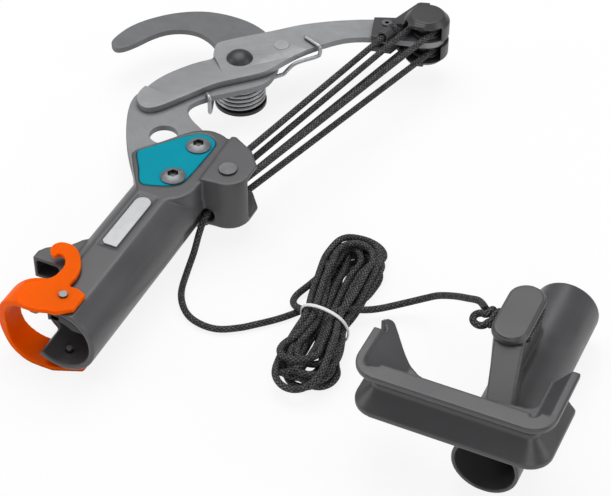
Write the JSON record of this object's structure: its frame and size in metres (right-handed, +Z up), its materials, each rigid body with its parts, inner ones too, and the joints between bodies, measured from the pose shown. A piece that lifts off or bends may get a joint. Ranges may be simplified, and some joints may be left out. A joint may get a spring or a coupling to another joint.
{
  "type": "pole lopper head",
  "caption": "Rope pull lopper head for a telescopic pole: hooked plate, sprung cutting lever, cord tackle, socket latch, and a sliding pull grip with a cord winder.",
  "frame": {"origin": "middle of the head and the grip together, on the floor that they lie on", "axes": "+Y along the pole socket from its mouth towards the blade, +X towards the pull grip, +Z up"},
  "size_m": [0.3801, 0.3566, 0.065],
  "materials": {
    "housing_grey": "finely textured glass-filled moulding",
    "cover_blue": "smooth satin moulding",
    "badge_silver": "satin foil plate",
    "plate_steel": "ground plate with a fine grain",
    "blade_steel": "ground plate with a bevelled edge",
    "screw_steel": "plated, satin",
    "black_steel": "blackened",
    "pin_steel": "turned",
    "rivet_steel": "peened flush",
    "spring_steel": "drawn wire",
    "black_plastic": "moulded",
    "sheave_plastic": "moulded, smooth",
    "latch_orange": "smooth satin moulding",
    "block_grey": "finely textured moulding",
    "cord_black": "braided",
    "tie_white": "soft band",
    "grip_grey": "finely textured moulding"
  },
  "bodies": {
    "head": {"housing": "housing_grey", "cover_plate": "cover_blue", "back_plate": "cover_blue", "badge": "badge_silver", "hook_blade": "plate_steel", "clamp_screw_front": "screw_steel", "clamp_screw_rear": "screw_steel", "clamp_nut_front": "screw_steel", "clamp_nut_rear": "screw_steel", "pivot_bolt": "black_steel", "pivot_nut": "black_steel", "spring_cup": "black_plastic", "return_spring": "spring_steel", "bracket_pin": "pin_steel", "bracket_turn_top": "cord_black", "bracket_turn_mid": "cord_black", "latch_pin_top": "pin_steel", "latch_pin_low": "pin_steel", "lock_jaw": "black_plastic", "cord_lead": "cord_black", "cord_hank": "cord_black", "hank_tie": "tie_white", "cord_tail": "cord_black", "cord_knot": "cord_black", "grip_body": "grip_grey", "grip_cap": "grip_grey", "grip_screw": "screw_steel"},
    "lever": {"lever_blade": "blade_steel", "pivot_bush": "pin_steel", "spring_arm": "spring_steel", "stop_rivet": "rivet_steel", "block_cover_top": "block_grey", "block_cover_low": "block_grey", "block_pin": "pin_steel", "cover_rivet": "rivet_steel", "block_turn_top": "cord_black", "block_turn_low": "cord_black", "anchor_knot": "cord_black"},
    "tackle_line": {"strand_2": "cord_black", "strand_3": "cord_black", "strand_4": "cord_black", "strand_5": "cord_black"},
    "anchor_line": {"strand_1": "cord_black"},
    "latch": {"latch": "latch_orange"},
    "bracket_sheave_top": {"bracket_sheave_top": "sheave_plastic"},
    "block_sheave_top": {"block_sheave_top": "sheave_plastic"},
    "bracket_sheave_mid": {"bracket_sheave_mid": "sheave_plastic"},
    "block_sheave_low": {"block_sheave_low": "sheave_plastic"},
    "bracket_sheave_low": {"bracket_sheave_low": "sheave_plastic"}
  },
  "joints": [
    {"name": "lever_hinge", "type": "hinge", "parent": "head", "child": "lever", "pos_m": [-0.104, 0.08775, 0.0323], "axis": [0, 0, 1], "range_deg": [-50, 0], "stiffness_Nm_per_rad": 0.8, "springref_deg": 22.92, "deforming": ["strand_1", "strand_2", "strand_3", "strand_4", "strand_5"]},
    {"name": "tackle_swing", "type": "hinge", "parent": "head", "child": "tackle_line", "pos_m": [-0.053, -0.02925, 0.031], "axis": [0, 0, 1], "range_deg": [-24.5, 0]},
    {"name": "anchor_swing", "type": "hinge", "parent": "head", "child": "anchor_line", "pos_m": [-0.053, -0.02925, 0.0404], "axis": [0, 0, 1], "range_deg": [-13.5, 0]},
    {"name": "bracket_sheave_top_spin", "type": "hinge", "parent": "head", "child": "bracket_sheave_top", "pos_m": [-0.053, -0.02925, 0.031], "axis": [0, 0, 1], "range_deg": [0, 650]},
    {"name": "block_sheave_top_spin", "type": "hinge", "parent": "lever", "child": "block_sheave_top", "pos_m": [-0.007, 0.16375, 0.0323], "axis": [0, 0, 1], "range_deg": [0, 1290]},
    {"name": "bracket_sheave_mid_spin", "type": "hinge", "parent": "head", "child": "bracket_sheave_mid", "pos_m": [-0.053, -0.02925, 0.031], "axis": [0, 0, 1], "range_deg": [0, 1930]},
    {"name": "block_sheave_low_spin", "type": "hinge", "parent": "lever", "child": "block_sheave_low", "pos_m": [-0.007, 0.16375, 0.0323], "axis": [0, 0, 1], "range_deg": [0, 2560]},
    {"name": "bracket_sheave_low_spin", "type": "hinge", "parent": "head", "child": "bracket_sheave_low", "pos_m": [-0.053, -0.02925, 0.031], "axis": [0, 0, 1], "range_deg": [0, 3200]},
    {"name": "latch_hinge", "type": "hinge", "parent": "head", "child": "latch", "pos_m": [-0.085, -0.16225, 0.0246], "axis": [0, 0, 1], "range_deg": [0, 55]}
  ],
  "couplings": [
    {"joint": "tackle_swing", "follows": "lever_hinge", "ratio": 0.47654},
    {"joint": "anchor_swing", "follows": "lever_hinge", "ratio": 0.25752},
    {"joint": "bracket_sheave_top_spin", "follows": "lever_hinge", "ratio": -12.746},
    {"joint": "block_sheave_top_spin", "follows": "lever_hinge", "ratio": -25.493},
    {"joint": "bracket_sheave_mid_spin", "follows": "lever_hinge", "ratio": -38.239},
    {"joint": "block_sheave_low_spin", "follows": "lever_hinge", "ratio": -50.986},
    {"joint": "bracket_sheave_low_spin", "follows": "lever_hinge", "ratio": -63.732}
  ]
}
